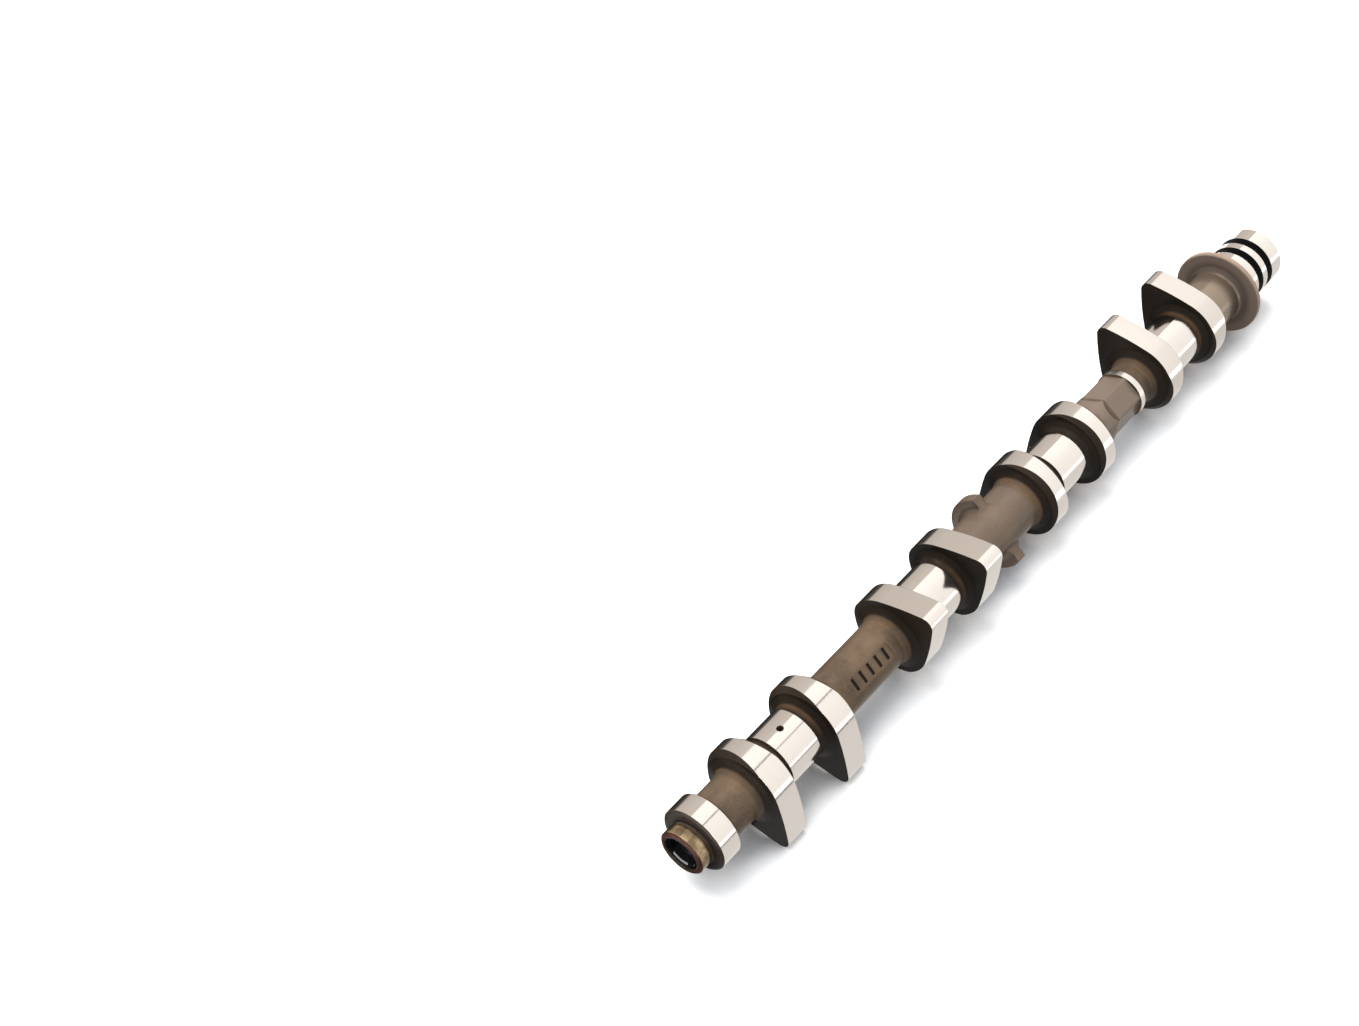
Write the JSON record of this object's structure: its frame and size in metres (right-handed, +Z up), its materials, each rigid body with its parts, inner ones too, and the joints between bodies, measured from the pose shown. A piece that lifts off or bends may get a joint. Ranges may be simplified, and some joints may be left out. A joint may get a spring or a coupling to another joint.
{
  "type": "engine camshaft",
  "caption": "Cast overhead camshaft with paired ground lobes, journals, half-moon trigger disc, hexagon, thrust flange and a drive nose with sealing rings.",
  "frame": {"origin": "centre of the bounding box's base, under the shaft's axis", "axes": "+X along the shaft to the drive end, +Z up from the surface it lies on, +Y across"},
  "size_m": [0.4388, 0.043, 0.0429],
  "materials": {
    "cast_shaft": "ground bright on lobes and journals, as cast between them",
    "plug": "black",
    "seal": "matt",
    "dowel": "ground"
  },
  "bodies": {
    "root": {"camshaft": "cast_shaft", "gallery_plug": "plug", "seal_ring_inner": "seal", "seal_ring_outer": "seal", "dowel_pin": "dowel"}
  },
  "joints": []
}
